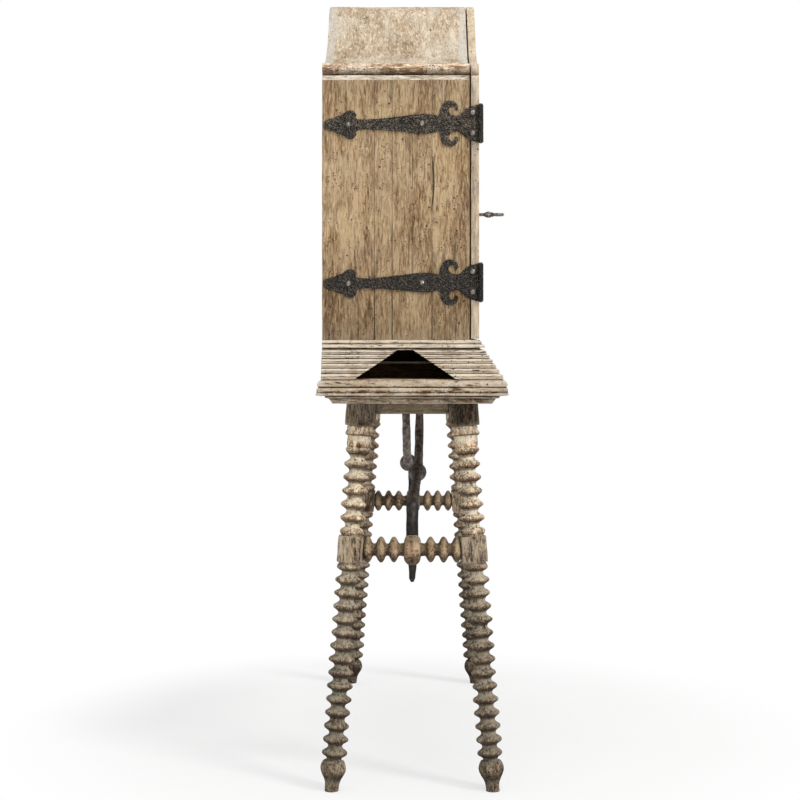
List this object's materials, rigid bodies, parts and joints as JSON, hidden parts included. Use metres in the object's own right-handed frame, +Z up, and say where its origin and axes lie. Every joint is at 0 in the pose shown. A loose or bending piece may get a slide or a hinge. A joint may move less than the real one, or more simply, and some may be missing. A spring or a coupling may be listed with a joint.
{
  "type": "two-door vargueno cabinet with an ogee top on a turned stand with iron fiadores",
  "caption": "Spanish vargueno cabinet with an ogee top and wrap-round strap hinges, on a stand with splayed ring-turned legs and forged iron fiadores",
  "frame": {"origin": "On the floor, under the middle of the whole piece: halfway along the width, and halfway between the stand's back edge and the key's bow", "axes": "+Z up, the doors face -Y, X runs along the width with the key's door on the +X side"},
  "size_m": [1.202, 0.447, 1.821],
  "materials": {
    "side_wood": "aged, waxed, worm-eaten board wood",
    "pale_wood": "limed and worn moulding wood",
    "grey_wood": "weathered grey-brown board",
    "plain_wood": "unfinished old softwood",
    "door_wood": "aged board wood",
    "stand_wood": "limed wood worn to brown on the edges",
    "turned_wood": "limed, pitted turned wood",
    "black_iron": "hammered black wrought iron",
    "brown_iron": "forged iron with a thin brown rust"
  },
  "bodies": {
    "carcass": {"apron_back": "stand_wood", "apron_front": "stand_wood", "apron_left": "stand_wood", "apron_right": "stand_wood", "back_boards": "plain_wood", "base_back": "plain_wood", "base_front": "pale_wood", "base_left": "pale_wood", "base_right": "pale_wood", "cabinet_bottom": "plain_wood", "end_boards_left": "side_wood", "end_boards_right": "side_wood", "fiador_left": "brown_iron", "fiador_plate": "black_iron", "fiador_right": "brown_iron", "fiador_screws": "black_iron", "hinge_pins": "black_iron", "leg_back_left": "turned_wood", "leg_back_right": "turned_wood", "leg_front_left": "turned_wood", "leg_front_right": "turned_wood", "locating_rails": "plain_wood", "moulding_back": "stand_wood", "moulding_front": "stand_wood", "moulding_left": "stand_wood", "moulding_right": "stand_wood", "plinth_back": "plain_wood", "plinth_bearers": "plain_wood", "shelf_cleats": "plain_wood", "shelves": "plain_wood", "shoulder_bead_left": "pale_wood", "shoulder_bead_right": "pale_wood", "skirt_front": "pale_wood", "skirts_left": "pale_wood", "skirts_right": "pale_wood", "stand_rail": "plain_wood", "stand_top": "plain_wood", "strap_lower_left": "black_iron", "strap_lower_right": "black_iron", "strap_overlays": "black_iron", "strap_rivets": "black_iron", "strap_upper_left": "black_iron", "strap_upper_right": "black_iron", "stretcher_left": "turned_wood", "stretcher_right": "turned_wood", "top_board_left": "grey_wood", "top_board_right": "grey_wood"},
    "right_door": {"door_right_boards": "door_wood", "door_right_ledges": "door_wood", "leaves_right": "black_iron", "leaf_rivets_right": "black_iron", "escutcheon": "black_iron", "lock_case": "black_iron"},
    "left_door": {"door_left_boards": "door_wood", "door_left_ledges": "door_wood", "leaves_left": "black_iron", "leaf_rivets_left": "black_iron", "lock_keeper": "black_iron"},
    "key_body": {"key": "black_iron"},
    "bolt_body": {"lock_bolt": "black_iron"}
  },
  "joints": [
    {"name": "right_door_hinge", "type": "hinge", "parent": "carcass", "child": "right_door", "pos_m": [0.5463, -0.14095, 1.3], "axis": [0, 0, 1], "range_deg": [0, 180]},
    {"name": "left_door_hinge", "type": "hinge", "parent": "carcass", "child": "left_door", "pos_m": [-0.5463, -0.14095, 1.3], "axis": [0, 0, -1], "range_deg": [0, 180]},
    {"name": "key_turn", "type": "hinge", "parent": "right_door", "child": "key_body", "pos_m": [0.0395, -0.13775, 1.31777], "axis": [0, -1, 0], "range_deg": [0, 180]},
    {"name": "bolt_slide", "type": "slide", "parent": "right_door", "child": "bolt_body", "axis": [-1, 0, 0], "range_m": [0, 0.012]}
  ],
  "couplings": [
    {"joint": "bolt_slide", "follows": "key_turn", "m_per_rad": 0.0038197}
  ]
}
